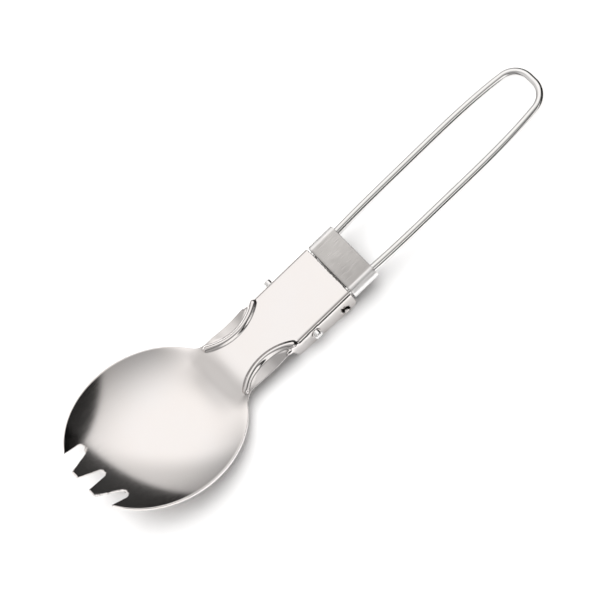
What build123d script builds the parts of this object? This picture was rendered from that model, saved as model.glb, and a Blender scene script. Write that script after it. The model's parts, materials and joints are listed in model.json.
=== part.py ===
from build123d import *

import math
import os

# Folding spork: a pressed sheet head, a wire loop handle that folds under it, and a lock sleeve.
# The pieces are drawn in the handle's own frame, then set down on the table at the end.
# Drawing frame: x runs from the pivot towards the loop end, y across, z = 0 is the flat plate's top.
# Final frame: x along the table from the middle of the overall length, z = 0 is the table, which
# the flange edges and the bowl's underside both touch.

# Sheet and channel
SHEET = 0.8
CHANNEL_WIDTH = 19.2
BEND_RADIUS = 1.5
CHANNEL_FRONT = -8.0
CHANNEL_REAR = 13.6
FLANGE_DEPTH_AT_PIVOT = 6.2
FLANGE_TAPER = 4.3
FLANGE_CORNER_RADIUS = 2.5
FLANGE_FRONT_SLANT = 0.9

# Neck between the channel and the bowl
NECK_LENGTH = 17.2
SHOULDER_DROP = 2.2
SHOULDER_OVERRUN = 2.0
NECK_FILLET = 5.0
LIFT_INTO_NECK = 7.0
LIFT_INTO_BOWL = 13.0
EDGE_INTO_NECK = 6.0
EDGE_INTO_BOWL = 5.0

# Bowl: an ellipse in plan, with a flat rim that rises to the front
BOWL_HALF_LENGTH = 24.8
BOWL_HALF_WIDTH = 22.6
RIM_DROP_AT_NECK = 1.5
RIM_SLOPE = 0.25

# Tines: two narrow inner ones with blunt tips, two outer ones that end the rim
INNER_TIP_SETBACK = 0.9
INNER_TIP_NEAR = 2.4
INNER_TIP_FAR = 4.5
MIDDLE_SLOT_DEPTH = 5.9
MIDDLE_ROOT_RADIUS = 0.9
OUTER_SLOT_DEPTH = 7.6
OUTER_ROOT_NEAR = 7.2
OUTER_ROOT_FAR = 11.6
OUTER_TIP_Y = 10.5
OUTER_ROOT_RADIUS = 1.8

# The pressed surface runs past the blank's edges by the margin, through points in rows and columns.
# The blank's cutters reach this far above and below the plate, and the neck's curved sheet meets
# the flat plate within the join tolerance.
SURFACE_MARGIN = 1.5
SURFACE_ROWS = 49
SURFACE_COLUMNS = 41
SURFACE_TOLERANCE = 0.01
BLANK_REACH = 20.0
JOIN_TOLERANCE = 0.005

# Stiffening ribs on the neck, each an arc that bows in towards the middle
RIB_RADIUS = 1.1
RIB_RISE = 0.7
RIB_END_INSET = 1.2
RIB_BOW = 3.0
RIB_INTO_CHANNEL = 1.5
RIB_FROM_BOWL = 1.2
RIB_FRONT_DROP = 1.25
RIB_REAR_DROP = 0.1

# Wire handle
WIRE_DIAMETER = 2.5
WIRE_TO_PLATE = 0.25
WIRE_TO_FLANGE = 0.4
WIRE_BEND_INSIDE = 0.35
PIVOT_CLEARANCE = 0.05
PIVOT_STICK_OUT = 1.6
PIVOT_END_CHAMFER = 0.3
WIRE_FLARE_AT_SLEEVE = 0.35
WIRE_FLARE_AT_WAIST = 0.75
WIRE_TAPER_AT_CORNER = 0.35
WIRE_TURN_IN = 7.0
WAIST_X = 50.0
LOOP_END_X = 88.9
LOOP_CORNER_RADIUS = 5.8

# Lock sleeve: it clears the flanges' rear corners as the handle swings
SLEEVE_WALL = 0.6
SLEEVE_SWING_CLEARANCE = 0.2
SLEEVE_LENGTH = 8.5
SLEEVE_SIDE_CLEARANCE = 0.2
SLEEVE_HEIGHT_CLEARANCE = 0.3
SLEEVE_EDGE_ROUND = 0.15

# Detent that holds the wire open
DETENT_TO_CHANNEL_END = 3.8
DETENT_BELOW_PLATE = 4.7
DETENT_RADIUS = 1.0
DETENT_DEPTH = 0.45
DETENT_BUMP = 0.28

wire_radius = WIRE_DIAMETER / 2
half_channel = CHANNEL_WIDTH / 2
inner_half_width = half_channel - SHEET
wire_z = -SHEET - WIRE_TO_PLATE - wire_radius
wire_in_channel = inner_half_width - WIRE_TO_FLANGE - wire_radius
wire_at_sleeve = wire_in_channel + WIRE_FLARE_AT_SLEEVE
wire_at_waist = wire_in_channel + WIRE_FLARE_AT_WAIST
wire_at_corner = wire_in_channel - WIRE_TAPER_AT_CORNER
taper = math.tan(math.radians(FLANGE_TAPER))

# The bowl's ellipse crosses the neck's side lines at kink_x.
kink_x = CHANNEL_FRONT - NECK_LENGTH
bowl_centre = kink_x - BOWL_HALF_LENGTH * math.sqrt(1 - (half_channel / BOWL_HALF_WIDTH) ** 2)
tine_tip_x = bowl_centre - BOWL_HALF_LENGTH + INNER_TIP_SETBACK
rib_front = (kink_x + RIB_FROM_BOWL, half_channel - RIB_END_INSET, -RIB_FRONT_DROP)
rib_rear = (CHANNEL_FRONT + RIB_INTO_CHANNEL, half_channel - RIB_END_INSET, -RIB_REAR_DROP)
rib_middle = ((rib_front[0] + rib_rear[0]) / 2, rib_rear[1] - RIB_BOW, 0.0)


def table_z(x):
    """Height of the table under the plate at x, in the drawing frame."""
    return -FLANGE_DEPTH_AT_PIVOT - taper * x


def rim_z(x):
    """Height of the flat rim at x."""
    return -RIM_DROP_AT_NECK - RIM_SLOPE * (x - kink_x)


# The pan is as deep as it can be with its underside on the table: the lowest point is where the
# pan's slope along x equals the table's.
slope_gap = RIM_SLOPE - taper
rim_above_floor = rim_z(bowl_centre) - table_z(bowl_centre) - SHEET
half_root = math.sqrt(rim_above_floor**2 - (slope_gap * BOWL_HALF_LENGTH) ** 2)
pan_depth = (rim_above_floor + half_root) / 2


def smooth_step(value):
    """Goes from 0 to 1 with level, evenly curved ends as value goes from 0 to 1."""
    clipped = min(max(value, 0.0), 1.0)
    return clipped**3 * (10 - 15 * clipped + 6 * clipped**2)


def pan_z(x, y):
    """Top surface of the bowl's pan: a paraboloid hung from the flat rim."""
    along = (x - bowl_centre) / BOWL_HALF_LENGTH
    across = y / BOWL_HALF_WIDTH
    return rim_z(x) - pan_depth * (1 - along**2 - across**2)


def neck_z(x, y):
    """Top surface of the neck: the flat plate, with shoulders that slope down outside the ribs."""
    rib_half_length = (rib_rear[0] - rib_front[0]) / 2
    rib_reach = smooth_step(abs(x - rib_middle[0]) / rib_half_length)
    fold_y = rib_middle[1] + (rib_rear[1] - rib_middle[1]) * rib_reach
    foot_y = half_channel + SHOULDER_OVERRUN
    return -SHOULDER_DROP * smooth_step((abs(y) - fold_y) / (foot_y - fold_y))


def head_z(x, y):
    """Top surface of the whole head forward of the channel."""
    lift = smooth_step((x - kink_x + LIFT_INTO_BOWL) / (LIFT_INTO_NECK + LIFT_INTO_BOWL))
    edge = smooth_step((x - kink_x + EDGE_INTO_BOWL) / (EDGE_INTO_NECK + EDGE_INTO_BOWL))
    middle = 1 / (1 + (y / half_channel) ** 4)
    share = lift * middle + edge * (1 - lift * middle)
    return pan_z(x, y) * (1 - share) + neck_z(x, y) * share


def blank_outline():
    """The blank's plan: the bowl's ellipse and the neck."""
    bowl = Pos(bowl_centre, 0) * Ellipse(BOWL_HALF_LENGTH, BOWL_HALF_WIDTH)
    neck_reach = CHANNEL_FRONT - bowl_centre
    neck = Pos(bowl_centre + neck_reach / 2, 0) * Rectangle(neck_reach, CHANNEL_WIDTH)
    plan = (bowl + neck).face()
    kinks = [v for v in plan.vertices() if abs(v.X - kink_x) < 0.01]
    return plan.fillet_2d(NECK_FILLET, kinks)


def tapered_slot(root_x, root_sides, tip_sides):
    """A slot's plan from its root to past the front, through where its sides meet the tips."""
    front = bowl_centre - BOWL_HALF_LENGTH - SURFACE_MARGIN
    corners = []
    for root_y, (tip_x, tip_y) in zip(root_sides, tip_sides):
        slope = (root_y - tip_y) / (root_x - tip_x)
        corners.append([(root_x, root_y), (front, tip_y + slope * (front - tip_x))])
    (near_root, near_mouth), (far_root, far_mouth) = corners
    return Polygon(near_root, near_mouth, far_mouth, far_root, align=None).face()


def tine_slots():
    """Plan outlines of the three slots, and the strip that blunts the inner tips."""
    middle_root_x = tine_tip_x + MIDDLE_SLOT_DEPTH - MIDDLE_ROOT_RADIUS
    outer_root_x = tine_tip_x + OUTER_SLOT_DEPTH
    outer_tip_x = bowl_centre - BOWL_HALF_LENGTH * math.sqrt(1 - (OUTER_TIP_Y / BOWL_HALF_WIDTH) ** 2)
    middle = tapered_slot(
        middle_root_x,
        (MIDDLE_ROOT_RADIUS, -MIDDLE_ROOT_RADIUS),
        ((tine_tip_x, INNER_TIP_NEAR), (tine_tip_x, -INNER_TIP_NEAR)),
    )
    slots = [middle, (Pos(middle_root_x, 0) * Circle(MIDDLE_ROOT_RADIUS)).face()]
    for side in (1, -1):
        outer = tapered_slot(
            outer_root_x,
            (side * OUTER_ROOT_NEAR, side * OUTER_ROOT_FAR),
            ((tine_tip_x, side * INNER_TIP_FAR), (outer_tip_x, side * OUTER_TIP_Y)),
        )
        roots = [v for v in outer.vertices() if abs(v.X - outer_root_x) < 0.01]
        slots.append(outer.fillet_2d(OUTER_ROOT_RADIUS, roots))
    strip = Rectangle(INNER_TIP_SETBACK, 2 * INNER_TIP_FAR + 2)
    slots.append((Pos(tine_tip_x - INNER_TIP_SETBACK / 2, 0) * strip).face())
    return slots


def pressed_sheet():
    """The bowl and neck, cut from the blank and pressed to the top surface."""
    half = BOWL_HALF_WIDTH + SURFACE_MARGIN
    front = bowl_centre - BOWL_HALF_LENGTH - SURFACE_MARGIN
    row_step = (CHANNEL_FRONT + SURFACE_MARGIN - front) / (SURFACE_ROWS - 1)
    ys = [half * (2 * column / (SURFACE_COLUMNS - 1) - 1) for column in range(SURFACE_COLUMNS)]
    grid = []
    for row in range(SURFACE_ROWS):
        x = front + row * row_step
        grid.append([Vector(x, y, head_z(x, y)) for y in ys])
    top = Face.make_surface_from_array_of_points(grid, tol=SURFACE_TOLERANCE)
    slab = extrude(top, amount=SHEET, dir=(0, 0, -1))
    sheet = slab & extrude(blank_outline(), amount=BLANK_REACH, both=True)
    for slot in tine_slots():
        sheet -= extrude(slot, amount=BLANK_REACH, both=True)
    return sheet


def channel():
    """The flat plate behind the neck with both sides bent down, open underneath."""
    depth = 2 * FLANGE_DEPTH_AT_PIVOT
    outside = Plane.YZ * Pos(0, -depth / 2) * Rectangle(CHANNEL_WIDTH, depth)
    top_corners = outside.vertices().group_by(Axis.Z)[-1]
    outside = fillet(top_corners, BEND_RADIUS)
    hollow = Plane.YZ * Pos(0, -SHEET - depth / 2) * Rectangle(2 * inner_half_width, depth)
    hollow = fillet(hollow.vertices().group_by(Axis.Z)[-1], BEND_RADIUS - SHEET)
    section = outside - hollow
    rail = extrude(Pos(CHANNEL_FRONT, 0, 0) * section, amount=CHANNEL_REAR - CHANNEL_FRONT, dir=(1, 0, 0))
    side = Plane.XZ * Polygon(
        (CHANNEL_FRONT, 1),
        (CHANNEL_FRONT, -BEND_RADIUS),
        (CHANNEL_FRONT + FLANGE_FRONT_SLANT, table_z(CHANNEL_FRONT + FLANGE_FRONT_SLANT)),
        (CHANNEL_REAR, table_z(CHANNEL_REAR)),
        (CHANNEL_REAR, 1),
        align=None,
    ).face()
    rear_corner = side.vertices().group_by(Axis.Z)[0]
    side = side.fillet_2d(FLANGE_CORNER_RADIUS, rear_corner)
    return rail & extrude(side, amount=CHANNEL_WIDTH, both=True)


def rib_path(side, drop):
    """Centre line of one rib, drop below the sheet's top."""
    points = [(x, side * y, z - drop) for x, y, z in (rib_front, rib_middle, rib_rear)]
    return ThreePointArc(*points)


def bead(side, radius, drop):
    """A round bead with round ends along a rib's centre line."""
    path = rib_path(side, drop)
    body = sweep(Plane(path @ 0, z_dir=path % 0) * Circle(radius), path=path)
    for end in (0, 1):
        body += Pos(path @ end) * Sphere(radius)
    return body


def spork_head():
    """The pressed head: bowl, tines, neck, ribs, channel, pivot holes and detents."""
    head = pressed_sheet().fuse(channel(), tol=JOIN_TOLERANCE)
    for side in (1, -1):
        head += bead(side, RIB_RADIUS, RIB_RADIUS - RIB_RISE)
        head -= bead(side, RIB_RADIUS - SHEET / 2, RIB_RADIUS - RIB_RISE + SHEET)
    head -= Pos(0, 0, wire_z) * Rot(90, 0, 0) * Cylinder(wire_radius + PIVOT_CLEARANCE, 2 * CHANNEL_WIDTH)
    dent_radius = (DETENT_RADIUS**2 + DETENT_DEPTH**2) / (2 * DETENT_DEPTH)
    dent_y = half_channel + dent_radius - DETENT_DEPTH
    bump_radius = (DETENT_RADIUS**2 + DETENT_BUMP**2) / (2 * DETENT_BUMP)
    bump_y = inner_half_width + bump_radius - DETENT_BUMP
    flange_band = Box(4 * DETENT_RADIUS, CHANNEL_WIDTH - SHEET, 4 * DETENT_RADIUS)
    detent = Pos(CHANNEL_REAR - DETENT_TO_CHANNEL_END, 0, -DETENT_BELOW_PLATE)
    for side in (1, -1):
        head += detent * flange_band & detent * Pos(0, side * bump_y, 0) * Sphere(bump_radius)
        head -= detent * Pos(0, side * dent_y, 0) * Sphere(dent_radius)
    return head


def sleeve_start():
    """Where the sleeve begins: just clear of the swing of the flanges' rounded rear corners."""
    corner_x = CHANNEL_REAR - FLANGE_CORNER_RADIUS
    corner_z = table_z(corner_x) + FLANGE_CORNER_RADIUS
    return math.hypot(corner_x, corner_z - wire_z) + FLANGE_CORNER_RADIUS + SLEEVE_SWING_CLEARANCE


def wire_half():
    """Half of the wire loop, from its pivot end to the middle of the loop end."""
    bend_radius = wire_radius + WIRE_BEND_INSIDE
    bend_end = wire_in_channel + bend_radius
    pivot_end = half_channel + PIVOT_STICK_OUT
    corner_turn = math.radians(90 - WIRE_TURN_IN)
    corner_x = LOOP_END_X - wire_radius - LOOP_CORNER_RADIUS * (1 - math.cos(corner_turn))
    pivot = Line((0, pivot_end, wire_z), (0, bend_end, wire_z))
    elbow = RadiusArc((0, bend_end, wire_z), (bend_radius, wire_in_channel, wire_z), -bend_radius)
    inside = Line(elbow @ 1, (CHANNEL_REAR, wire_in_channel, wire_z))
    sleeve_x = sleeve_start() + SLEEVE_LENGTH
    flank = Spline(
        inside @ 1,
        (sleeve_x, wire_at_sleeve, wire_z),
        (WAIST_X, wire_at_waist, wire_z),
        (corner_x, wire_at_corner, wire_z),
        tangents=[(1, 0, 0), (math.sin(corner_turn), -math.cos(corner_turn), 0)],
    )
    corner = JernArc(flank @ 1, flank % 1, LOOP_CORNER_RADIUS, -math.degrees(corner_turn))
    last = Line(corner @ 1, ((corner @ 1).X, 0, wire_z))
    path = Wire([pivot, elbow, inside, flank, corner, last])
    section = Plane(pivot @ 0, z_dir=(0, -1, 0)) * Circle(wire_radius)
    half = sweep(section, path=path)
    end_edge = half.edges().filter_by(GeomType.CIRCLE).sort_by(Axis.Y)[-1]
    return chamfer(end_edge, PIVOT_END_CHAMFER)


def wire_handle():
    """The wire loop, both halves in one piece."""
    half = wire_half()
    return half + mirror(half, Plane.XZ)


def lock_sleeve():
    """A flattened tube that slides along both wires."""
    inner_height = WIRE_DIAMETER + 2 * SLEEVE_HEIGHT_CLEARANCE
    inner_width = 2 * (wire_at_waist + wire_radius + SLEEVE_SIDE_CLEARANCE)
    outer_height = inner_height + 2 * SLEEVE_WALL
    outer_width = inner_width + 2 * SLEEVE_WALL
    seat = Plane.YZ.offset(sleeve_start()) * Pos(0, wire_z)
    outer = extrude(seat * SlotOverall(outer_width, outer_height), amount=SLEEVE_LENGTH, dir=(1, 0, 0))
    inner = extrude(seat * SlotOverall(inner_width, inner_height), amount=SLEEVE_LENGTH, dir=(1, 0, 0))
    outer = fillet(outer.faces().filter_by(Axis.X).edges(), SLEEVE_EDGE_ROUND)
    return outer - inner


pieces = {
    "spork_head": spork_head(),
    "wire_handle": wire_handle(),
    "lock_sleeve": lock_sleeve(),
}
tilt = Rot(0, -FLANGE_TAPER, 0) * Pos(0, 0, FLANGE_DEPTH_AT_PIVOT)
laid_down = {name: tilt * piece for name, piece in pieces.items()}
extent = Compound(list(laid_down.values())).bounding_box()
to_origin = Pos(-extent.center().X, 0, 0)
os.makedirs("parts", exist_ok=True)
for name, piece in laid_down.items():
    export_step(to_origin * piece, f"parts/{name}.step")
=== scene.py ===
"""Looks of a folding spork: a pressed steel head, a wire loop handle and a sliding lock sleeve."""

import json
import logging
import math
from dataclasses import dataclass
from enum import Enum

import bmesh
import bpy
from mathutils import Matrix, Vector


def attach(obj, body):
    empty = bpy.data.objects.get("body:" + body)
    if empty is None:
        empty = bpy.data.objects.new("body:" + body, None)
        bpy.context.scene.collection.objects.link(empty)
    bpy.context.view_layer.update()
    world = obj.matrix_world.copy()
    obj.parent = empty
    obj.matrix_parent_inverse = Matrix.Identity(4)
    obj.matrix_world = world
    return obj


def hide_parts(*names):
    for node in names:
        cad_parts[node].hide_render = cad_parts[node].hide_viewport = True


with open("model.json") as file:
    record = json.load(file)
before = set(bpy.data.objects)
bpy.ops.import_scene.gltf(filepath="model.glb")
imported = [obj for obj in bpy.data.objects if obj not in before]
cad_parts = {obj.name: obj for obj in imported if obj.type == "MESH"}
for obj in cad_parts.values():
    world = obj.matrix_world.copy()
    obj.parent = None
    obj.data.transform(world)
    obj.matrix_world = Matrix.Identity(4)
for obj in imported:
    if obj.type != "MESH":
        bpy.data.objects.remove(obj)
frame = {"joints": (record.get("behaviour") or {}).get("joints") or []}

MM = 0.001
TOUCHING = 0.001
CUT_TOLERANCE = 0.0001
HALVINGS = 50
# Mesh attribute saying where the sleeve's rounded sides get the painted highlight colour.
PAINTED_SHEEN = "painted_sheen"
ROUNDING = "bevel_weight_edge"
GRAIN_DETAIL = 4.0
PATCH_DETAIL = 3.0
PATCHES_PER_METRE = 55.0
PATCH_SPAN = (0.35, 0.65)
GRAIN_SPAN = (0.35, 0.75)

log = logging.getLogger("spork")


def smooth_step(value: float) -> float:
    """Goes from 0 to 1 with level, evenly curved ends as value goes from 0 to 1."""
    clipped = min(max(value, 0.0), 1.0)
    return clipped**3 * (10 - 15 * clipped + 6 * clipped**2)


def drawing_matrix(wire_z: float) -> Matrix:
    """Turns millimetres in the handle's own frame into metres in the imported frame.

    Args:
        wire_z: Height of the wire's centre line under the plate's top.

    Returns:
        The matrix that puts the wire's pivot on the fold joint and lays the handle along its slide.
    """
    joints = {joint["name"]: joint for joint in frame["joints"]}
    along = Vector(joints["sleeve_slide"]["axis"]).normalized()
    tilt = Matrix.Rotation(-math.atan2(along.z, along.x), 4, "Y")
    pivot = Matrix.Translation(joints["handle_fold"]["pos_m"])
    return pivot @ tilt @ Matrix.Scale(MM, 4) @ Matrix.Translation((0, 0, -wire_z))


def ring_edges(new: list, ring: list[bmesh.types.BMVert]) -> list[bmesh.types.BMEdge]:
    """Finds the edges that join the vertices of one ring.

    Args:
        new: What an extrusion made.
        ring: The ring's vertices.

    Returns:
        The ring's own edges.
    """
    return [
        item for item in new
        if isinstance(item, bmesh.types.BMEdge) and all(vert in ring for vert in item.verts)
    ]


def add_piece(name: str, mesh_source: bmesh.types.BMesh, place: Matrix) -> bpy.types.Object:
    """Makes an object at the origin from a mesh drawn in millimetres.

    Args:
        name: The piece's name.
        mesh_source: The drawn mesh, which is freed.
        place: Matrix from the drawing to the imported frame.

    Returns:
        The new object, smooth shaded, with its open edges marked for rounding.
    """
    bmesh.ops.transform(mesh_source, matrix=place, verts=mesh_source.verts)
    rounding = mesh_source.edges.layers.float.new(ROUNDING)
    for edge in mesh_source.edges:
        edge[rounding] = float(edge.is_boundary)
    for face in mesh_source.faces:
        face.smooth = True
    mesh = bpy.data.meshes.new(name)
    mesh_source.to_mesh(mesh)
    mesh_source.free()
    piece = bpy.data.objects.new(name, mesh)
    bpy.context.scene.collection.objects.link(piece)
    return piece


def add_wall(piece: bpy.types.Object, thickness: float, edge_round: float) -> None:
    """Gives a drawn skin its wall, inwards, and breaks the wall's edges.

    Args:
        piece: The skin.
        thickness: Wall in millimetres.
        edge_round: Width of the broken edges in millimetres.
    """
    wall = piece.modifiers.new("wall", "SOLIDIFY")
    wall.thickness = thickness * MM
    wall.offset = -1
    edge = piece.modifiers.new("edge", "BEVEL")
    edge.width = edge_round * MM
    edge.segments = 2
    edge.limit_method = "WEIGHT"
    edge.edge_weight = ROUNDING
    edge.use_clamp_overlap = False
    normals = piece.modifiers.new("normals", "WEIGHTED_NORMAL")
    normals.keep_sharp = True


def install(piece: bpy.types.Object, body: str, node: str) -> None:
    """Puts a piece in place of a CAD node.

    Args:
        piece: The finished piece.
        body: The body that it moves with.
        node: The CAD node that it stands for.
    """
    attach(piece, body)
    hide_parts(node)
    log.info("%s: %d vertices, rides on %s", piece.name, len(piece.data.vertices), body)


class Grain(Enum):
    """What a metal's grain follows."""

    OBJECT = "object"
    WIRE = "straightened"


@dataclass(frozen=True)
class Metal:
    """A bare metal finish with grain, handling marks and uneven polish, and optionally a painted highlight
    colour.

    Attributes:
        name: The material's name.
        colour: Linear base colour.
        warm: Linear colour of the slightly warmer patches.
        roughness: Roughness of the best polished spots.
        haze: How much rougher the dull patches are.
        grain_roughness: How much rougher the grain's lines are.
        grain_scale: Grain lines per metre along each axis.
        grain_depth: Depth of the grain in metres.
        follows: What the grain's axes follow.
        painted_sheen_colour: Linear colour painted where the mesh marks rounded sides, a painted highlight
            that makes them look lit, or None.
    """

    name: str
    colour: tuple[float, float, float]
    warm: tuple[float, float, float]
    roughness: float
    haze: float
    grain_roughness: float
    grain_scale: tuple[float, float, float]
    grain_depth: float
    follows: Grain
    painted_sheen_colour: tuple[float, float, float] | None = None

    def build(self) -> bpy.types.Material:
        """Makes the material.

        Returns:
            The node material.
        """
        material = bpy.data.materials.new(self.name)
        material.use_nodes = True
        tree = material.node_tree
        shader = tree.nodes["Principled BSDF"]
        shader.inputs["Metallic"].default_value = 1.0
        spot = self._coordinates(tree)
        grain = self._noise(tree, spot, self.grain_scale, GRAIN_DETAIL)
        patches = self._noise(tree, spot, (PATCHES_PER_METRE,) * 3, PATCH_DETAIL)
        self._dress_colour(tree, shader, patches)
        self._dress_roughness(tree, shader, grain, patches)
        bump = tree.nodes.new("ShaderNodeBump")
        bump.inputs["Strength"].default_value = 1.0
        bump.inputs["Distance"].default_value = self.grain_depth
        tree.links.new(grain, bump.inputs["Height"])
        tree.links.new(bump.outputs["Normal"], shader.inputs["Normal"])
        return material

    def _coordinates(self, tree: bpy.types.NodeTree) -> bpy.types.NodeSocket:
        """The coordinates that the patterns follow."""
        if self.follows is Grain.OBJECT:
            return tree.nodes.new("ShaderNodeTexCoord").outputs["Object"]
        attribute = tree.nodes.new("ShaderNodeAttribute")
        attribute.attribute_name = self.follows.value
        return attribute.outputs["Vector"]

    def _noise(
        self,
        tree: bpy.types.NodeTree,
        spot: bpy.types.NodeSocket,
        scale: tuple[float, float, float],
        detail: float,
    ) -> bpy.types.NodeSocket:
        """A noise pattern with its own scale along each axis.

        Args:
            tree: The material's nodes.
            spot: The coordinates.
            scale: Features per metre along each axis.
            detail: Octaves of finer noise.

        Returns:
            The pattern's value.
        """
        mapping = tree.nodes.new("ShaderNodeMapping")
        mapping.inputs["Scale"].default_value = scale
        noise = tree.nodes.new("ShaderNodeTexNoise")
        noise.inputs["Scale"].default_value = 1.0
        noise.inputs["Detail"].default_value = detail
        tree.links.new(spot, mapping.inputs["Vector"])
        tree.links.new(mapping.outputs["Vector"], noise.inputs["Vector"])
        return noise.outputs["Fac"]

    def _dress_colour(
        self,
        tree: bpy.types.NodeTree,
        shader: bpy.types.Node,
        patches: bpy.types.NodeSocket,
    ) -> None:
        """Lets the colour drift between the base and the warmer tone, and mixes in the painted highlight
        colour where the mesh asks for it.

        Args:
            tree: The material's nodes.
            shader: The surface shader.
            patches: The pattern of the drift.
        """
        ramp = tree.nodes.new("ShaderNodeValToRGB")
        for element, position, colour in zip(ramp.color_ramp.elements, PATCH_SPAN, (self.colour, self.warm)):
            element.position = position
            element.color = (*colour, 1.0)
        tree.links.new(patches, ramp.inputs["Fac"])
        if self.painted_sheen_colour is None:
            tree.links.new(ramp.outputs["Color"], shader.inputs["Base Color"])
            return
        # Painted highlight: the mesh's share mixes in a bright colour so that the sleeve's rounded sides
        # look lit.
        sheen_share = tree.nodes.new("ShaderNodeAttribute")
        sheen_share.attribute_name = PAINTED_SHEEN
        mix = tree.nodes.new("ShaderNodeMix")
        mix.data_type = "RGBA"
        tree.links.new(sheen_share.outputs["Fac"], mix.inputs["Factor"])
        tree.links.new(ramp.outputs["Color"], mix.inputs["A"])
        mix.inputs["B"].default_value = (*self.painted_sheen_colour, 1.0)
        tree.links.new(mix.outputs["Result"], shader.inputs["Base Color"])

    def _dress_roughness(
        self,
        tree: bpy.types.NodeTree,
        shader: bpy.types.Node,
        grain: bpy.types.NodeSocket,
        patches: bpy.types.NodeSocket,
    ) -> None:
        """Makes the grain's lines and the handled patches duller than the rest.

        Args:
            tree: The material's nodes.
            shader: The surface shader.
            grain: The grain's pattern.
            patches: The handled patches' pattern.
        """
        lines = tree.nodes.new("ShaderNodeMapRange")
        lines.inputs["From Min"].default_value, lines.inputs["From Max"].default_value = GRAIN_SPAN
        lines.inputs["To Min"].default_value = self.roughness
        lines.inputs["To Max"].default_value = self.roughness + self.grain_roughness
        dull = tree.nodes.new("ShaderNodeMath")
        dull.operation = "MULTIPLY_ADD"
        dull.inputs[1].default_value = self.haze
        tree.links.new(grain, lines.inputs["Value"])
        tree.links.new(patches, dull.inputs[0])
        tree.links.new(lines.outputs["Result"], dull.inputs[2])
        tree.links.new(dull.outputs["Value"], shader.inputs["Roughness"])


SATIN_SHEET = Metal(
    name="satin_steel_sheet",
    colour=(0.80, 0.775, 0.765),
    warm=(0.80, 0.765, 0.745),
    roughness=0.07,
    haze=0.04,
    grain_roughness=0.04,
    grain_scale=(220.0, 2600.0, 900.0),
    grain_depth=0.0000012,
    follows=Grain.OBJECT,
)
POLISHED_WIRE = Metal(
    name="polished_steel_wire",
    colour=(0.83, 0.825, 0.82),
    warm=(0.81, 0.80, 0.79),
    roughness=0.07,
    haze=0.03,
    grain_roughness=0.05,
    grain_scale=(120.0, 3000.0, 3000.0),
    grain_depth=0.0000012,
    follows=Grain.WIRE,
)
BRUSHED_SLEEVE = Metal(
    name="brushed_steel_sleeve",
    colour=(0.56, 0.545, 0.53),
    warm=(0.42, 0.405, 0.395),
    roughness=0.22,
    haze=0.08,
    grain_roughness=0.22,
    grain_scale=(300.0, 3600.0, 2500.0),
    grain_depth=0.000006,
    follows=Grain.OBJECT,
    # Painted highlight: bright colour on the sleeve's rounded sides, standing in for how they catch the
    # light.
    painted_sheen_colour=(0.92, 0.91, 0.90),
)


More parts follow.
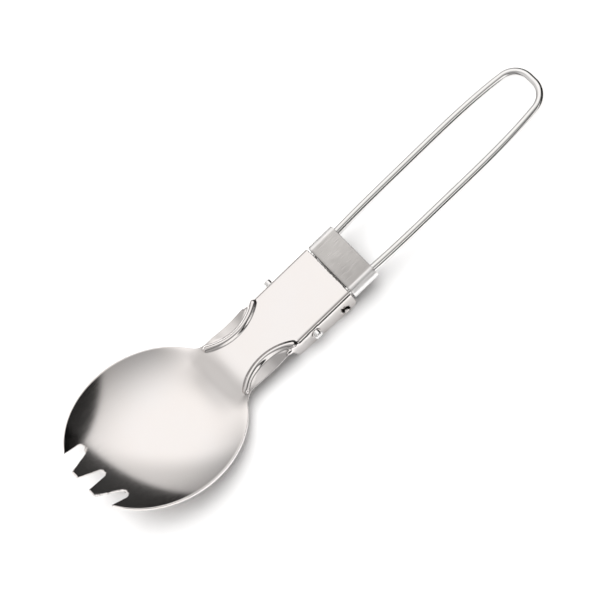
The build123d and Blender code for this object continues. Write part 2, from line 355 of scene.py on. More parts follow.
@dataclass
class SheetHead:
    """The pressed head: bowl, tines, ribbed neck and the channel that holds the handle's pivot.

    Sizes are millimetres in the handle's frame: x from the pivot to the loop end, z = 0 at the
    plate's top.
    """

    sheet: float = 0.8
    edge_round: float = 0.12
    half_channel: float = 9.6
    bend_radius: float = 1.5
    channel_front: float = -8.0
    channel_rear: float = 13.6
    flange_depth_at_pivot: float = 6.2
    flange_taper: float = 4.3
    flange_corner_radius: float = 2.5
    flange_front_slant: float = 0.9
    neck_length: float = 17.2
    shoulder_slope: float = 0.29
    shoulder_round: float = 1.0
    neck_fillet: float = 5.0
    lift_into_neck: float = 12.0
    lift_into_bowl: float = 14.0
    edge_into_neck: float = 6.0
    edge_into_bowl: float = 5.0
    bowl_half_length: float = 24.8
    bowl_half_width: float = 22.6
    rim_drop_at_neck: float = 1.5
    rim_slope: float = 0.25
    rim_softness: float = 0.01
    level_before_neck: float = 10.0
    inner_tip_setback: float = 0.9
    inner_tip_near: float = 2.4
    inner_tip_far: float = 4.5
    middle_slot_depth: float = 5.9
    middle_root_radius: float = 0.9
    outer_slot_depth: float = 7.6
    outer_root_near: float = 7.2
    outer_root_far: float = 11.6
    outer_tip_y: float = 10.5
    outer_root_radius: float = 1.8
    rib_half_width: float = 1.08
    rib_rise: float = 0.7
    rib_fullness: float = 1.15
    rib_end_inset: float = 1.2
    rib_bow: float = 3.0
    rib_into_channel: float = 1.5
    rib_from_bowl: float = 1.2
    bend_blend: float = 2.5
    wire_z: float = -2.3
    pivot_hole_radius: float = 1.42
    detent_to_channel_end: float = 3.8
    detent_below_plate: float = 4.7
    detent_radius: float = 1.2
    detent_depth: float = 0.30
    slant_reach: float = 4.0
    columns: int = 96
    bowl_step: float = 0.45
    neck_step: float = 0.2
    channel_step: float = 0.4
    corner_steps: int = 10
    flange_steps: int = 17
    round_steps: int = 7
    hole_segments: int = 32
    dent_rings: int = 7
    dent_middle_share: float = 0.02
    cleared_margin: float = 0.45
    cut_reach: float = 0.7
    shortest_edge: float = 0.05
    mouth_overrun: float = 1.0
    middle_round_share: float = 0.96

    def __post_init__(self) -> None:
        """Works out the places that follow from the sizes."""
        self.taper = math.tan(math.radians(self.flange_taper))
        self.kink_x = self.channel_front - self.neck_length
        reach = math.sqrt(1 - (self.half_channel / self.bowl_half_width) ** 2)
        self.bowl_centre = self.kink_x - self.bowl_half_length * reach
        self.tip_x = self.bowl_centre - self.bowl_half_length + self.inner_tip_setback
        rim_above_table = self.rim_z(self.bowl_centre) - self.table_z(self.bowl_centre) - self.sheet
        slope_gap = self.rim_slope - self.taper
        half_root = math.sqrt(rim_above_table**2 - (slope_gap * self.bowl_half_length) ** 2)
        self.pan_depth = (rim_above_table + half_root) / 2
        self.fillet_start, self.fillet_x = self._neck_fillet_ends()
        self.rib_front_x = self.kink_x + self.rib_from_bowl
        self.rib_rear_x = self.channel_front + self.rib_into_channel
        self.rib_end_y = self.half_channel - self.rib_end_inset

    def table_z(self, x: float) -> float:
        """Height of the table under the plate at x."""
        return -self.flange_depth_at_pivot - self.taper * x

    def rim_z(self, x: float) -> float:
        """Height of the flat rim at x."""
        return -self.rim_drop_at_neck - self.rim_slope * (x - self.kink_x)

    def _neck_fillet_ends(self) -> tuple[float, float]:
        """Finds where the fillet leaves the bowl's ellipse and where it meets the neck's side.

        Returns:
            The two places along x.
        """
        low, high = 0.0, math.pi / 2
        for _ in range(HALVINGS):
            middle = (low + high) / 2
            across = math.sin(middle) / self.bowl_half_width
            normal = Vector((math.cos(middle) / self.bowl_half_length, across)).normalized()
            y = self.bowl_half_width * math.sin(middle) + self.neck_fillet * normal.y
            if y < self.half_channel + self.neck_fillet:
                low = middle
            else:
                high = middle
        start = self.bowl_centre + self.bowl_half_length * math.cos(middle)
        return start, start + self.neck_fillet * normal.x

    def half_width(self, x: float) -> float:
        """Half the blank's width at x: the bowl's ellipse, a fillet, then the neck's straight side."""
        if x <= self.fillet_start:
            along = (x - self.bowl_centre) / self.bowl_half_length
            return self.bowl_half_width * math.sqrt(max(0.0, 1 - along**2))
        if x <= self.fillet_x:
            from_end = self.fillet_x - x
            return self.half_channel + self.neck_fillet - math.sqrt(self.neck_fillet**2 - from_end**2)
        return self.half_channel

    def pan_z(self, x: float, y: float) -> float:
        """Top of the bowl's pan: a paraboloid hung from the flat rim."""
        along = (x - self.bowl_centre) / self.bowl_half_length
        across = y / self.bowl_half_width
        sunk = 1 - along**2 - across**2
        levelled = (sunk + math.sqrt(sunk**2 + self.rim_softness)) / 2
        share = smooth_step((x - self.kink_x + self.level_before_neck) / self.level_before_neck)
        return self.rim_z(x) - self.pan_depth * (sunk * (1 - share) + levelled * share)

    def neck_z(self, x: float, y: float) -> float:
        """Top of the neck: the flat plate, with shoulders that slope down outside the ribs."""
        middle_x = (self.rib_front_x + self.rib_rear_x) / 2
        reach = smooth_step(abs(x - middle_x) / (self.rib_rear_x - middle_x))
        outside = abs(y) - self.rib_end_y + self.rib_bow * (1 - reach)
        rounded = min(max(outside, 0.0), self.shoulder_round)
        return -self.shoulder_slope * (rounded**2 / (2 * self.shoulder_round) + max(0.0, outside - rounded))

    def head_z(self, x: float, y: float) -> float:
        """Top of the head forward of the channel."""
        lift_length = self.lift_into_neck + self.lift_into_bowl
        edge_length = self.edge_into_neck + self.edge_into_bowl
        lift = smooth_step((x - self.kink_x + self.lift_into_bowl) / lift_length)
        edge = smooth_step((x - self.kink_x + self.edge_into_bowl) / edge_length)
        middle = 1 / (1 + (y / self.half_channel) ** 4)
        share = lift * middle + edge * (1 - lift * middle)
        return self.pan_z(x, y) * (1 - share) + self.neck_z(x, y) * share

    def rib_height(self, x: float, y: float) -> float:
        """How far the stiffening rib stands above the sheet at a place on the blank."""
        half_chord = (self.rib_rear_x - self.rib_front_x) / 2
        radius = (half_chord**2 + self.rib_bow**2) / (2 * self.rib_bow)
        centre = Vector(((self.rib_front_x + self.rib_rear_x) / 2, self.rib_end_y - self.rib_bow + radius))
        from_centre = Vector((x, abs(y))) - centre
        if abs(from_centre.x) * (radius - self.rib_bow) <= -from_centre.y * half_chord:
            distance = abs(from_centre.length - radius)
        else:
            end_x = self.rib_front_x if from_centre.x < 0 else self.rib_rear_x
            distance = (Vector((x, abs(y))) - Vector((end_x, self.rib_end_y))).length
        share = min(1.0, distance / self.rib_half_width)
        return self.rib_rise * (1 - share**2) ** self.rib_fullness

    def pressed(self, x: float, y: float) -> Vector:
        """Where a place on the flat blank goes when the head is pressed.

        Args:
            x: Place along the blank.
            y: Place across it.

        Returns:
            The point on the head's top skin.
        """
        rib = self.rib_height(x, y)
        head = Vector((x, y, self.head_z(x, y) + rib))
        side = math.copysign(1.0, y)
        bend_start = self.half_channel - self.bend_radius
        turn = max(0.0, abs(y) - bend_start) / self.bend_radius * math.pi / 2
        reach = self.bend_radius + rib
        plate_y = side * (min(abs(y), bend_start) + reach * math.sin(turn))
        plate = Vector((x, plate_y, reach * math.cos(turn) - self.bend_radius))
        share = smooth_step((x - self.channel_front + self.bend_blend) / self.bend_blend)
        return head.lerp(plate, share)

    def row_places(self) -> list[float]:
        """Where the blank's rows lie along x: close on the ribs and at the rear corner.

        Returns:
            The rows' places in order.
        """
        def spread(start: float, end: float, step: float) -> list[float]:
            """Even places from start up to, not including, end."""
            count = round((end - start) / step)
            return [start + (end - start) * i / count for i in range(count)]

        corner_x = self.channel_rear - self.flange_corner_radius
        corner = [
            corner_x + self.flange_corner_radius * math.sin(math.pi / 2 * i / self.corner_steps)
            for i in range(self.corner_steps + 1)
        ]
        return (
            spread(self.tip_x, self.kink_x, self.bowl_step)
            + spread(self.kink_x, self.channel_front, self.neck_step)
            + spread(self.channel_front, corner_x, self.channel_step)
            + corner
        )

    def flat_blank(self) -> bmesh.types.BMesh:
        """Draws the flat blank with its slots cut out.

        Returns:
            The mesh, at z = 0.
        """
        rows = self.row_places()
        blank = bmesh.new()
        bmesh.ops.create_grid(blank, x_segments=len(rows) - 1, y_segments=self.columns, size=1.0)
        for vert in blank.verts:
            row = round((vert.co.x + 1) / 2 * (len(rows) - 1))
            x = rows[row]
            vert.co = (x, vert.co.y * self.half_width(x), 0)
        for outline in self.slot_outlines():
            self._cut_out(blank, outline)
        bmesh.ops.dissolve_degenerate(blank, dist=self.shortest_edge, edges=blank.edges)
        return blank

    def slot_outlines(self) -> list[list[Vector]]:
        """The three slots between the tines, as convex outlines.

        Returns:
            Each outline's points in order.
        """
        mouth_x = self.tip_x - self.mouth_overrun
        middle_root_x = self.tip_x + self.middle_slot_depth
        outer_root_x = self.tip_x + self.outer_slot_depth
        outer_along = math.sqrt(1 - (self.outer_tip_y / self.bowl_half_width) ** 2)
        outer_tip_x = self.bowl_centre - self.bowl_half_length * outer_along

        def side(root_x: float, root_y: float, tip_x: float, tip_y: float) -> tuple[Vector, Vector]:
            """A slot side's root and mouth, on the line through its root and its tine's tip."""
            slope = (root_y - tip_y) / (root_x - tip_x)
            return Vector((root_x, root_y)), Vector((mouth_x, tip_y + slope * (mouth_x - tip_x)))

        outlines = []
        for sign in (1, -1):
            near_root, near_mouth = side(
                outer_root_x, sign * self.outer_root_near, self.tip_x, sign * self.inner_tip_far
            )
            far_root, far_mouth = side(
                outer_root_x, sign * self.outer_root_far, outer_tip_x, sign * self.outer_tip_y
            )
            roots = self._rounded(near_mouth, near_root, far_root, self.outer_root_radius)
            roots += self._rounded(near_root, far_root, far_mouth, self.outer_root_radius)
            outlines.append([near_mouth, *roots, far_mouth])
        root_y = self.middle_root_radius
        upper_root, upper_mouth = side(middle_root_x, root_y, self.tip_x, self.inner_tip_near)
        lower_root, lower_mouth = side(middle_root_x, -root_y, self.tip_x, -self.inner_tip_near)
        radius = self.middle_round_share * root_y
        roots = self._rounded(upper_mouth, upper_root, lower_root, radius)
        roots += self._rounded(upper_root, lower_root, lower_mouth, radius)
        outlines.append([upper_mouth, *roots, lower_mouth])
        return outlines

    def _rounded(self, before: Vector, corner: Vector, after: Vector, radius: float) -> list[Vector]:
        """Rounds a corner between two straight sides.

        Args:
            before: A point on the first side.
            corner: The sharp corner.
            after: A point on the second side.
            radius: The rounding's radius.

        Returns:
            Points along the rounding, from the first side to the second.
        """
        first = (before - corner).normalized()
        second = (after - corner).normalized()
        half = first.angle(second) / 2
        centre = corner + (first + second).normalized() * (radius / math.sin(half))
        start = corner + first * (radius / math.tan(half)) - centre
        end = corner + second * (radius / math.tan(half)) - centre
        return [centre + start.slerp(end, i / self.round_steps) for i in range(self.round_steps + 1)]

    def _cut_out(self, blank: bmesh.types.BMesh, outline: list[Vector]) -> None:
        """Cuts a convex outline out of the flat blank.

        Args:
            blank: The flat mesh.
            outline: The outline's points in order.
        """
        middle = sum(outline, Vector((0, 0))) / len(outline)
        reach = self.cut_reach
        walls = []
        for start, end in zip(outline, outline[1:]):
            along = (end - start).normalized()
            out = Vector((along.y, -along.x))
            if out.dot(middle - start) > 0:
                out = -out
            walls.append((start, out))
            far_end = (end - start).length + reach
            near = []
            for face in blank.faces:
                offset = face.calc_center_median().to_2d() - start
                if abs(offset.dot(out)) < reach and -reach < offset.dot(along) < far_end:
                    near.append(face)
            edges = {edge for face in near for edge in face.edges}
            verts = {vert for face in near for vert in face.verts}
            bmesh.ops.bisect_plane(
                blank,
                geom=[*verts, *edges, *near],
                dist=CUT_TOLERANCE,
                plane_co=start.to_3d(),
                plane_no=out.to_3d(),
            )
        inside = [
            face
            for face in blank.faces
            if all((face.calc_center_median().to_2d() - start).dot(out) < 0 for start, out in walls)
        ]
        bmesh.ops.delete(blank, geom=inside, context="FACES")

    def flange_bottom(self, x: float) -> float:
        """Height of the flange's lower edge at x, with its rounded rear corner."""
        into_corner = max(0.0, x - self.channel_rear + self.flange_corner_radius)
        left = math.sqrt(max(0.0, self.flange_corner_radius**2 - into_corner**2))
        return self.table_z(x) + self.flange_corner_radius - left

    def add_flange(self, head: bmesh.types.BMesh, side: int) -> None:
        """Draws one side of the channel down from the bend.

        Args:
            head: The pressed mesh.
            side: 1 or -1, the side.
        """
        def on_bend(vert: bmesh.types.BMVert) -> bool:
            """Whether a vertex lies on the bend's lower edge."""
            return (
                abs(vert.co.y - side * self.half_channel) < TOUCHING
                and vert.co.x > self.channel_front - TOUCHING
                and abs(vert.co.z + self.bend_radius) < TOUCHING
            )

        edges = [
            edge for edge in head.edges if edge.is_boundary and all(on_bend(vert) for vert in edge.verts)
        ]
        for step in range(self.flange_steps):
            before = step / self.flange_steps
            after = (step + 1) / self.flange_steps
            new = bmesh.ops.extrude_edge_only(head, edges=edges)["geom"]
            edges = [item for item in new if isinstance(item, bmesh.types.BMEdge)]
            edges = [edge for edge in edges if self._in_row(edge)]
            for vert in {vert for edge in edges for vert in edge.verts}:
                weight = max(0.0, 1 - (vert.co.x - self.channel_front) / self.slant_reach)
                vert.co.x += self.flange_front_slant * weight * (after - before)
                bottom = self.flange_bottom(vert.co.x)
                vert.co.z = -self.bend_radius + (bottom + self.bend_radius) * after

    def _in_row(self, edge: bmesh.types.BMEdge) -> bool:
        """Whether a new edge runs along the extruded row, not between two rows."""
        return len(edge.link_faces) == 1 and abs(edge.verts[0].co.x - edge.verts[1].co.x) > TOUCHING

    def _open_block(
        self, head: bmesh.types.BMesh, side: int, centre: Vector, half: float
    ) -> list[bmesh.types.BMEdge]:
        """Clears a square block of the channel's side.

        Args:
            head: The pressed mesh.
            side: 1 or -1, the side.
            centre: The block's middle, as x and z.
            half: Half the block's width.

        Returns:
            The block's boundary edges.
        """
        block = []
        for face in head.faces:
            middle = face.calc_center_median()
            on_side = middle.y * side > self.half_channel - self.bend_radius / 2
            if on_side and abs(middle.x - centre.x) < half and abs(middle.z - centre.y) < half:
                block.append(face)
        inner = set(block)
        rim = {edge for face in block for edge in face.edges if not set(edge.link_faces) <= inner}
        bmesh.ops.delete(head, geom=block, context="FACES")
        return [edge for edge in rim if edge.is_valid]

    def punch(
        self, head: bmesh.types.BMesh, side: int, centre: Vector, radius: float, depth: float
    ) -> None:
        """Punches a round hole, or presses a round dent, in one side of the channel.

        Args:
            head: The pressed mesh.
            side: 1 or -1, the side.
            centre: The middle, as x and z.
            radius: The hole's or dent's radius.
            depth: The dent's depth, or 0 for a hole.
        """
        rim = self._open_block(head, side, centre, radius + self.cleared_margin)
        across = Matrix.Rotation(math.pi / 2, 4, "X")
        place = Matrix.Translation((centre.x, side * self.half_channel, centre.y)) @ across
        ring = bmesh.ops.create_circle(
            head, segments=self.hole_segments, radius=radius, matrix=place
        )["verts"]
        for vert in ring:
            above_bend = max(0.0, vert.co.z + self.bend_radius)
            vert.co.y -= side * (self.bend_radius - math.sqrt(self.bend_radius**2 - above_bend**2))
        edges = list({edge for vert in ring for edge in vert.link_edges})
        bmesh.ops.bridge_loops(head, edges=rim + edges)
        if depth == 0:
            return
        middle = Vector((centre.x, side * self.half_channel, centre.y))
        for step in range(1, self.dent_rings + 1):
            share = 1 - step / self.dent_rings
            new = bmesh.ops.extrude_edge_only(head, edges=edges)["geom"]
            ring = [item for item in new if isinstance(item, bmesh.types.BMVert)]
            for vert in ring:
                offset = vert.co - middle
                offset.y = 0
                vert.co = middle + offset.normalized() * radius * max(share, self.dent_middle_share)
                vert.co.y -= side * depth * (1 - share**2)
            edges = ring_edges(new, ring)
        bmesh.ops.pointmerge(head, verts=ring, merge_co=middle - Vector((0, side * depth, 0)))

    def build(self, finish: bpy.types.Material) -> bpy.types.Object:
        """Presses, bends and punches the head.

        Args:
            finish: The sheet's material.

        Returns:
            The finished piece.
        """
        head = self.flat_blank()
        for vert in head.verts:
            vert.co = self.pressed(vert.co.x, vert.co.y)
        detent = Vector((self.channel_rear - self.detent_to_channel_end, -self.detent_below_plate))
        for side in (1, -1):
            self.add_flange(head, side)
            self.punch(head, side, Vector((0, self.wire_z)), self.pivot_hole_radius, 0)
            self.punch(head, side, detent, self.detent_radius, self.detent_depth)
        bmesh.ops.recalc_face_normals(head, faces=head.faces)
        if sum(face.normal.z for face in head.faces) < 0:
            bmesh.ops.reverse_faces(head, faces=head.faces)
        piece = add_piece("spork_bowl_and_neck", head, drawing_matrix(self.wire_z))
        add_wall(piece, self.sheet, self.edge_round)
        piece.data.materials.append(finish)
        install(piece, "head", "spork_head")
        return piece


@dataclass
class WireHandle:
    """The wire loop, bent from one length of round wire, with its ends turned out as pivots."""

    radius: float = 1.25
    z: float = -2.3
    pivot_end: float = 11.2
    at_channel: float = 7.15
    at_sleeve: float = 7.5
    at_waist: float = 7.9
    at_corner: float = 6.8
    bend_radius: float = 1.6
    channel_rear: float = 13.6
    sleeve_x: float = 22.52
    waist_x: float = 50.0
    turn_in: float = 7.0
    loop_end_x: float = 88.9
    corner_radius: float = 5.8
    end_round: float = 0.35
    segments: int = 40
    station_spacing: float = 1.0
    fewest_stations: int = 6
    bend_stations: int = 12
    corner_stations: int = 24
    end_stations: int = 5

    def flank(self, corner_x: float) -> list[Vector]:
        """The gently bowed side of the loop, through its widths at the sleeve, waist and corner.

        Args:
            corner_x: Where the corner starts.

        Returns:
            Points along the side.
        """
        xs = [self.channel_rear, self.sleeve_x, self.waist_x, corner_x]
        ys = [self.at_channel, self.at_sleeve, self.at_waist, self.at_corner]
        first, last = 0.0, -math.tan(math.radians(self.turn_in))
        steps = [b - a for a, b in zip(xs, xs[1:])]
        rises = [(b - a) / step**2 for a, b, step in zip(ys, ys[1:], steps)]
        near, middle, far = (1 / step for step in steps)
        # The inner slopes are those that keep the curvature even at the sleeve and the waist.
        balance = Matrix(((2 * near + 2 * middle, middle), (middle, 2 * middle + 2 * far)))
        goal = Vector((3 * (rises[0] + rises[1]) - first * near, 3 * (rises[1] + rises[2]) - last * far))
        slopes = [first, *(balance.inverted() @ goal), last]
        points = []
        for i, step in enumerate(steps):
            count = max(self.fewest_stations, round(step / self.station_spacing))
            for k in range(count):
                t = k / count
                value = (
                    (2 * t**3 - 3 * t**2 + 1) * ys[i]
                    + (t**3 - 2 * t**2 + t) * step * slopes[i]
                    + (3 * t**2 - 2 * t**3) * ys[i + 1]
                    + (t**3 - t**2) * step * slopes[i + 1]
                )
                points.append(Vector((xs[i] + t * step, value)))
        return points

    def half_path(self) -> list[Vector]:
        """Centre line of one half, from its pivot end to the middle of the loop end.

        Returns:
            Points in the plane of the loop.
        """
        turn = math.radians(90 - self.turn_in)
        corner_x = self.loop_end_x - self.radius - self.corner_radius * (1 - math.cos(turn))
        bend_end = self.at_channel + self.bend_radius
        few, bends, corners = self.fewest_stations, self.bend_stations, self.corner_stations
        path = [Vector((0, self.pivot_end + (bend_end - self.pivot_end) * i / few)) for i in range(few)]
        for i in range(bends + 1):
            angle = math.pi / 2 * i / bends
            bent_y = bend_end - self.bend_radius * math.sin(angle)
            path.append(Vector((self.bend_radius * (1 - math.cos(angle)), bent_y)))
        inside = self.channel_rear - self.bend_radius
        path += [Vector((self.bend_radius + inside * i / bends, self.at_channel)) for i in range(1, bends)]
        path += self.flank(corner_x)
        start = math.radians(self.turn_in)
        inwards = -Vector((math.sin(start), math.cos(start)))
        centre = Vector((corner_x, self.at_corner)) + self.corner_radius * inwards
        for i in range(corners + 1):
            angle = start + turn * i / corners
            path.append(centre + self.corner_radius * Vector((math.sin(angle), math.cos(angle))))
        corner_end = path[-1]
        path += [Vector((corner_end.x, corner_end.y * (1 - i / few))) for i in range(1, few + 1)]
        return path

    def build(self, finish: bpy.types.Material) -> bpy.types.Object:
        """Sweeps the wire along its centre line.

        Args:
            finish: The wire's material.

        Returns:
            The finished piece.
        """
        half = self.half_path()
        path = half + [Vector((point.x, -point.y)) for point in reversed(half[:-1])]
        wire = bmesh.new()
        straight = wire.verts.layers.float_vector.new(Grain.WIRE.value)
        stations = self._stations(path)
        ring = bmesh.ops.create_circle(wire, cap_ends=True, segments=self.segments, radius=1.0)["verts"]
        section = [vert.co.copy() for vert in ring]
        edges = list({edge for vert in ring for edge in vert.link_edges})
        for number, (point, along, share, length) in enumerate(stations):
            if number:
                new = bmesh.ops.extrude_edge_only(wire, edges=edges)["geom"]
                ring = self._next_ring(new, ring)
                edges = ring_edges(new, ring)
            across = Vector((-along.y, along.x))
            for vert, corner in zip(ring, section):
                offset = across * (corner.x * self.radius * share)
                height = corner.y * self.radius * share
                vert.co = (point.x + offset.x, point.y + offset.y, self.z + height)
                vert[straight] = (length * MM, corner.x * self.radius * MM, corner.y * self.radius * MM)
        bmesh.ops.holes_fill(wire, edges=edges, sides=self.segments)
        bmesh.ops.recalc_face_normals(wire, faces=wire.faces)
        piece = add_piece("wire_loop", wire, drawing_matrix(self.z))
        piece.data.materials.append(finish)
        install(piece, "handle", "wire_handle")
        return piece

    def _next_ring(self, new: list, ring: list[bmesh.types.BMVert]) -> list[bmesh.types.BMVert]:
        """Puts the extruded vertices in the order of the ring before them.

        Args:
            new: What the extrusion made.
            ring: The ring before it.

        Returns:
            The new ring.
        """
        fresh = {item for item in new if isinstance(item, bmesh.types.BMVert)}
        order = []
        for vert in ring:
            others = (edge.other_vert(vert) for edge in vert.link_edges)
            order.append(next(other for other in others if other in fresh))
        return order

    def _stations(self, path: list[Vector]) -> list[tuple[Vector, Vector, float, float]]:
        """Places, directions, relative radii and lengths of the sweep's rings, with rounded ends.

        Args:
            path: The centre line's points.

        Returns:
            One station for each ring.
        """
        stations = []
        length = 0.0
        for i, point in enumerate(path):
            before = path[max(0, i - 1)]
            after = path[min(len(path) - 1, i + 1)]
            if i:
                length += (point - before).length
            stations.append((point, (after - before).normalized(), 1.0, length))
        first, last = stations[0], stations[-1]
        start = []
        end = []
        for i in range(self.end_stations):
            rise = math.sin(math.pi / 2 * i / self.end_stations)
            share = 1 - self.end_round * (1 - rise) / self.radius
            start.append((first[0] + first[1] * self.end_round * rise, first[1], share, 0.0))
            end.append((last[0] - last[1] * self.end_round * rise, last[1], share, length))
        return start + stations[1:-1] + list(reversed(end))


@dataclass
class LockSleeve:
    """The flattened tube that slides along both wires and locks them to the channel."""

    wall: float = 0.6
    edge_round: float = 0.15
    start: float = 14.02
    length: float = 8.5
    width: float = 19.9
    height: float = 4.3
    z: float = -2.3
    segments: int = 64
    steps: int = 14
    flat_cuts: int = 30
    sheen_inwards: float = 0.5
    sheen_width: float = 0.6

    def build(self, finish: bpy.types.Material) -> bpy.types.Object:
        """Draws the tube.

        Args:
            finish: The sleeve's material.

        Returns:
            The finished piece.
        """
        tube = bmesh.new()
        upright = Matrix.Rotation(math.pi / 2, 4, "Y")
        turned = Matrix.Rotation(math.pi / self.segments, 4, "X")
        ring = bmesh.ops.create_circle(
            tube, segments=self.segments, radius=self.height / 2, matrix=turned @ upright
        )["verts"]
        half_flat = (self.width - self.height) / 2
        for vert in ring:
            vert.co.y += math.copysign(half_flat, vert.co.y)
        flats = [edge for edge in tube.edges if edge.calc_length() > half_flat]
        bmesh.ops.subdivide_edges(tube, edges=flats, cuts=self.flat_cuts)
        bmesh.ops.translate(tube, vec=(self.start, 0, self.z), verts=tube.verts)
        edges = list(tube.edges)
        for _ in range(self.steps):
            new = bmesh.ops.extrude_edge_only(tube, edges=edges)["geom"]
            ring = [item for item in new if isinstance(item, bmesh.types.BMVert)]
            bmesh.ops.translate(tube, vec=(self.length / self.steps, 0, 0), verts=ring)
            edges = ring_edges(new, ring)
        bmesh.ops.recalc_face_normals(tube, faces=tube.faces)
        if sum(face.normal.z * (face.calc_center_median().z - self.z) for face in tube.faces) < 0:
            bmesh.ops.reverse_faces(tube, faces=tube.faces)
        # Painted highlight: from just inside the flat top's edge, the rounded sides get the bright painted
        # colour.
        painted_sheen = tube.verts.layers.float.new(PAINTED_SHEEN)
        for vert in tube.verts:
            past_flat = abs(vert.co.y) - half_flat + self.sheen_inwards
            vert[painted_sheen] = smooth_step(past_flat / self.sheen_width)
        piece = add_piece("sliding_sleeve", tube, drawing_matrix(self.z))
        add_wall(piece, self.wall, self.edge_round)
        piece.data.materials.append(finish)
        install(piece, "sleeve", "lock_sleeve")
        return piece


@dataclass(frozen=True)
class Glow:
    """A soft patch of the light tent around the object.

    Attributes:
        toward: Direction from the object to the middle of the patch.
        edge: Angle from the middle, in degrees, where the patch has faded out.
        core: Angle from the middle, in degrees, inside which the patch is at full strength.
        gain: Brightness that the patch adds, or takes away where it is negative.
    """

    toward: tuple[float, float, float]
    edge: float
    core: float
    gain: float


@dataclass(frozen=True)
class Screen:
    """A side or a gap of the tent where the light is held back.

    Attributes:
        toward: Direction that the screen lies in, or the direction across a gap.
        starts: How far along that direction the screen starts.
        ends: How far along it the screen is at its full strength.
        share: Share of the light that it takes away.
        gap: Whether it is a gap between two sides, measured from its middle.
        middle: How far along that direction the middle of a gap lies.
    """

    toward: tuple[float, float, float]
    starts: float
    ends: float
    share: float
    gap: bool = False
    middle: float = 0.0


@dataclass
class Studio:
    """A white table top in a light tent, dark towards the tines, and the camera."""

    floor_half: float = 3.0
    floor_roughness: float = 0.9
    floor_sheen: float = 0.1
    floor_mottle: float = 40.0
    floor_tones: tuple[float, float] = (0.90, 0.93)
    tent_tint: tuple[float, float, float] = (1.0, 0.985, 0.975)
    tent_glow: float = 0.42
    wash_toward: tuple[float, float, float] = (-0.05, 0.42, 0.90)
    wash_distance: float = 1.4
    wash_side: float = 3.0
    wash_power: float = 45.0
    lens: float = 300.0
    sensor: float = 36.0
    azimuth: float = -11.35
    elevation: float = 63.93
    roll: float = -31.80
    distance: float = 1.326
    aim: tuple[float, float, float] = (-0.00486, 0.00251, 0.0)
    glows: tuple[Glow, ...] = (
        Glow(toward=(0.26, 0.48, 0.84), edge=50.0, core=12.0, gain=0.76),
        Glow(toward=(0.0, -0.90, 0.42), edge=38.0, core=18.0, gain=0.75),
        Glow(toward=(-0.80, 0.43, 0.42), edge=40.0, core=16.0, gain=0.32),
    )
    screens: tuple[Screen, ...] = (
        Screen(toward=(0.80, -0.60, 0.0), starts=0.105, ends=0.075, share=0.96, gap=True, middle=0.575),
        Screen(toward=(0.75, 0.0, -0.66), starts=0.065, ends=0.095, share=0.93),
        Screen(toward=(0.65, 0.35, -0.66), starts=0.0, ends=0.20, share=0.28),
        Screen(toward=(0.0, 0.0, 1.0), starts=0.22, ends=0.02, share=0.85),
        Screen(toward=(0.0, 0.857, 0.515), starts=0.14, ends=0.05, share=0.72, gap=True),
    )

    def floor(self) -> None:
        """Lays the table top."""
        top = bmesh.new()
        bmesh.ops.create_grid(top, x_segments=1, y_segments=1, size=self.floor_half)
        floor = add_piece("table_top", top, Matrix.Identity(4))
        material = bpy.data.materials.new("white_table")
        material.use_nodes = True
        tree = material.node_tree
        shader = tree.nodes["Principled BSDF"]
        shader.inputs["Roughness"].default_value = self.floor_roughness
        shader.inputs["Specular IOR Level"].default_value = self.floor_sheen
        spot = tree.nodes.new("ShaderNodeTexCoord")
        noise = tree.nodes.new("ShaderNodeTexNoise")
        noise.inputs["Scale"].default_value = self.floor_mottle
        ramp = tree.nodes.new("ShaderNodeValToRGB")
        for element, tone in zip(ramp.color_ramp.elements, self.floor_tones):
            element.color = (tone, tone, tone, 1.0)
        tree.links.new(spot.outputs["Object"], noise.inputs["Vector"])
        tree.links.new(noise.outputs["Fac"], ramp.inputs["Fac"])
        tree.links.new(ramp.outputs["Color"], shader.inputs["Base Color"])
        floor.data.materials.append(material)

    def tent(self) -> None:
        """Wraps the object in soft light and sets a plain view transform."""
        world = bpy.data.worlds.new("light_tent")
        world.use_nodes = True
        tree = world.node_tree
        direction = tree.nodes.new("ShaderNodeTexCoord").outputs["Generated"]
        total = self.tent_glow
        for glow in self.glows:
            total = self._joined(tree, "ADD", total, self._glow_part(tree, direction, glow))
        for screen in self.screens:
            total = self._joined(tree, "MULTIPLY", total, self._screen_part(tree, direction, screen))
        background = tree.nodes["Background"]
        background.inputs["Color"].default_value = (*self.tent_tint, 1.0)
        tree.links.new(total, background.inputs["Strength"])
        bpy.context.scene.world = world
        bpy.context.scene.view_settings.view_transform = "Standard"

    def _joined(
        self,
        tree: bpy.types.NodeTree,
        operation: str,
        *values: bpy.types.NodeSocket | float,
    ) -> bpy.types.NodeSocket:
        """Works out one value from others.

        Args:
            tree: The world's nodes.
            operation: The maths node's operation.
            values: What goes in, as sockets or numbers.

        Returns:
            The outcome.
        """
        node = tree.nodes.new("ShaderNodeMath")
        node.operation = operation
        for place, value in zip(node.inputs, values):
            if isinstance(value, float):
                place.default_value = value
            else:
                tree.links.new(value, place)
        return node.outputs["Value"]

    def _ramp(
        self,
        tree: bpy.types.NodeTree,
        value: bpy.types.NodeSocket,
        start: float,
        end: float,
        low: float,
        high: float,
    ) -> bpy.types.NodeSocket:
        """A smooth step between two levels.

        Args:
            tree: The world's nodes.
            value: What the step reads.
            start: Where the step starts.
            end: Where it ends.
            low: The level before the step.
            high: The level after it.

        Returns:
            The stepped value.
        """
        if start > end:
            start, end, low, high = end, start, high, low
        ramp = tree.nodes.new("ShaderNodeMapRange")
        ramp.interpolation_type = "SMOOTHSTEP"
        ramp.inputs["From Min"].default_value = start
        ramp.inputs["From Max"].default_value = end
        ramp.inputs["To Min"].default_value = low
        ramp.inputs["To Max"].default_value = high
        tree.links.new(value, ramp.inputs["Value"])
        return ramp.outputs["Result"]

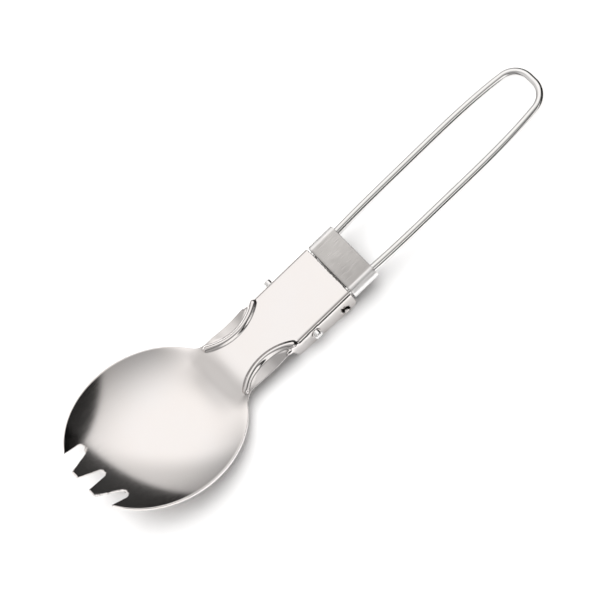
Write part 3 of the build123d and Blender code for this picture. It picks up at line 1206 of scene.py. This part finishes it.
    def _glow_part(
        self, tree: bpy.types.NodeTree, direction: bpy.types.NodeSocket, glow: Glow
    ) -> bpy.types.NodeSocket:
        """One soft patch of the tent.

        Args:
            tree: The world's nodes.
            direction: The direction looked in.
            glow: The patch.

        Returns:
            What the patch adds.
        """
        edge, core = (math.cos(math.radians(angle)) for angle in (glow.edge, glow.core))
        return self._ramp(tree, self._along(tree, direction, glow.toward), edge, core, 0.0, glow.gain)

    def _along(
        self,
        tree: bpy.types.NodeTree,
        direction: bpy.types.NodeSocket,
        toward: tuple[float, float, float],
    ) -> bpy.types.NodeSocket:
        """How far the looked-in direction goes along another.

        Args:
            tree: The world's nodes.
            direction: The direction looked in.
            toward: The other direction.

        Returns:
            The cosine between the two.
        """
        nearness = tree.nodes.new("ShaderNodeVectorMath")
        nearness.operation = "DOT_PRODUCT"
        nearness.inputs[1].default_value = Vector(toward).normalized()
        tree.links.new(direction, nearness.inputs[0])
        return nearness.outputs["Value"]

    def _screen_part(
        self, tree: bpy.types.NodeTree, direction: bpy.types.NodeSocket, screen: Screen
    ) -> bpy.types.NodeSocket:
        """The share of the light that a screen lets through.

        Args:
            tree: The world's nodes.
            direction: The direction looked in.
            screen: The screen.

        Returns:
            The share, from 0 to 1.
        """
        value = self._along(tree, direction, screen.toward)
        if screen.gap:
            value = self._joined(tree, "ABSOLUTE", self._joined(tree, "SUBTRACT", value, screen.middle))
        return self._ramp(tree, value, screen.starts, screen.ends, 1.0, 1 - screen.share)

    def wash(self) -> None:
        """Hangs the large lamp that whitens the table and that the metal doesn't mirror."""
        light = bpy.data.lights.new("table_wash", "AREA")
        light.shape = "SQUARE"
        light.size = self.wash_side
        light.energy = self.wash_power
        lamp = bpy.data.objects.new("table_wash", light)
        bpy.context.scene.collection.objects.link(lamp)
        toward = Vector(self.wash_toward).normalized()
        lamp.location = toward * self.wash_distance
        lamp.rotation_euler = toward.to_track_quat("Z", "Y").to_euler()
        lamp.visible_camera = False
        lamp.visible_glossy = False

    def camera(self) -> None:
        """Stands the camera above the table, turned so that the spork lies on the slant."""
        data = bpy.data.cameras.new("camera")
        data.lens = self.lens
        data.sensor_width = self.sensor
        data.clip_start = 0.01
        data.clip_end = 20.0
        angles = (self.azimuth, self.elevation, self.roll)
        azimuth, elevation, roll = (math.radians(angle) for angle in angles)
        back = Vector(
            (
                math.sin(azimuth) * math.cos(elevation),
                -math.cos(azimuth) * math.cos(elevation),
                math.sin(elevation),
            )
        )
        right = Vector((0, 0, 1)).cross(back).normalized()
        up = back.cross(right)
        turned_right = right * math.cos(roll) + up * math.sin(roll)
        turned_up = up * math.cos(roll) - right * math.sin(roll)
        camera = bpy.data.objects.new("camera", data)
        bpy.context.scene.collection.objects.link(camera)
        axes = Matrix((turned_right, turned_up, back)).transposed()
        camera.matrix_world = Matrix.Translation(Vector(self.aim) + back * self.distance) @ axes.to_4x4()
        bpy.context.scene.camera = camera

    def build(self) -> None:
        """Builds the whole studio."""
        self.floor()
        self.tent()
        self.wash()
        self.camera()
        log.info("studio: %d soft patches and a wash lamp", len(self.glows))


def main() -> None:
    """Builds the spork's pieces and the studio, leaving the CAD parts hidden in the scene."""
    logging.basicConfig(level=logging.INFO, format="%(message)s")
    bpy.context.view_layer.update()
    SheetHead().build(SATIN_SHEET.build())
    WireHandle().build(POLISHED_WIRE.build())
    LockSleeve().build(BRUSHED_SLEEVE.build())
    Studio().build()
    bpy.context.view_layer.update()


if __name__ == "__main__":
    main()
